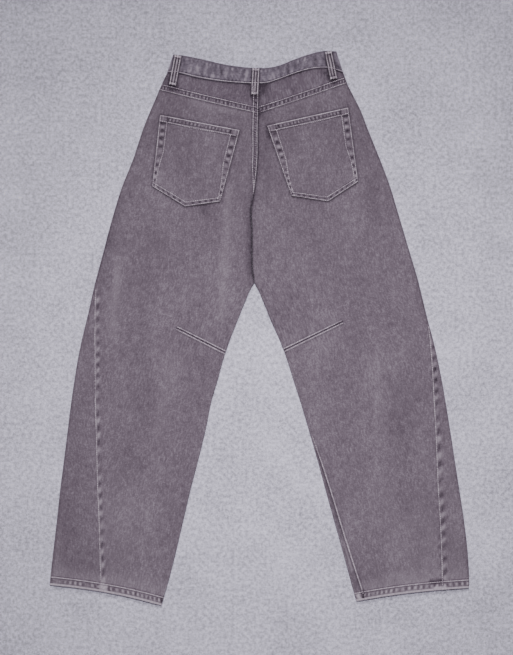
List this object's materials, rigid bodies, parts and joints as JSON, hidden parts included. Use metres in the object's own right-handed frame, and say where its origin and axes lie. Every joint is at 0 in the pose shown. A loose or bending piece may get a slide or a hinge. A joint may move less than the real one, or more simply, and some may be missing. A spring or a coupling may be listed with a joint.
{
  "type": "barrel leg trousers",
  "caption": "Denim barrel leg trousers laid flat with the back up: waistband, belt loops, V yoke, patch pockets, knee darts and wide bowed legs.",
  "frame": {"origin": "on the resting surface, under the middle of the whole garment", "axes": "+Y runs from the hems to the waist, +X is the right of the back view and the wearer's right, +Z stands out of the resting surface through the back of the garment"},
  "size_m": [0.7752, 1.0242, 0.0104],
  "materials": {
    "denim_back": "matt washed denim, mauve grey",
    "denim_front": "matt washed denim, mauve grey",
    "denim_yoke": "matt washed denim, mauve grey",
    "denim_band": "matt washed denim, mottled mauve grey",
    "denim_pocket": "matt washed denim, mauve grey",
    "denim_loop": "matt washed denim with worn edges",
    "button_metal": "dull worn metal"
  },
  "bodies": {
    "root": {"front_left": "denim_front", "front_right": "denim_front", "back_left": "denim_back", "back_right": "denim_back", "yoke_left": "denim_yoke", "yoke_right": "denim_yoke", "waistband": "denim_band", "pocket_left": "denim_pocket", "pocket_right": "denim_pocket", "loop_back_left": "denim_loop", "loop_back_middle": "denim_loop", "loop_back_right": "denim_loop", "loop_front_left": "denim_loop", "loop_front_right": "denim_loop", "fly_shield": "denim_front", "waist_button": "button_metal"}
  },
  "joints": []
}
